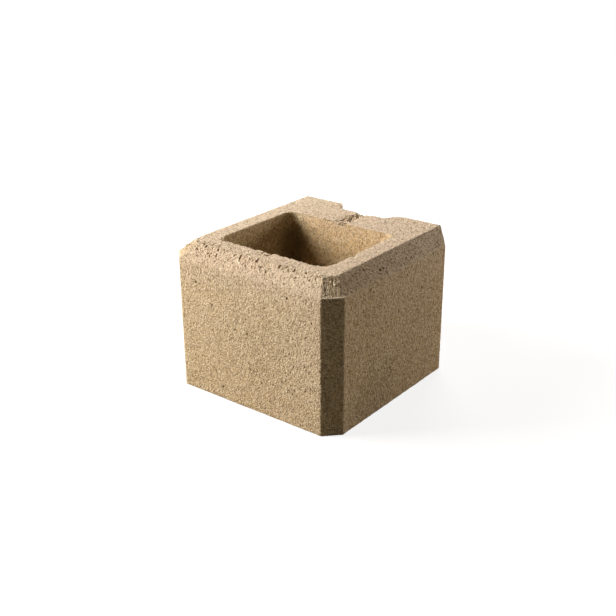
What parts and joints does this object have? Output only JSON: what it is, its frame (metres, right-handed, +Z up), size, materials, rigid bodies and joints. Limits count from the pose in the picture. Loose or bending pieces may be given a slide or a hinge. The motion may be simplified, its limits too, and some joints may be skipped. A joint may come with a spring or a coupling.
{
  "type": "fence block",
  "caption": "Square concrete wall unit with chamfered edges, a hollow core for steel and grout, and a key groove down its jointing face.",
  "frame": {"origin": "centre of the underside, on the bed that the block stands on", "axes": "+X along the fair front face, -Y out of the front face, +Y out of the jointing face with the key groove, +Z up"},
  "size_m": [0.2, 0.2, 0.15],
  "materials": {
    "sand_concrete": "rough cast concrete, sand coloured, finely pitted"
  },
  "bodies": {
    "root": {"fence_block": "sand_concrete"}
  },
  "joints": []
}
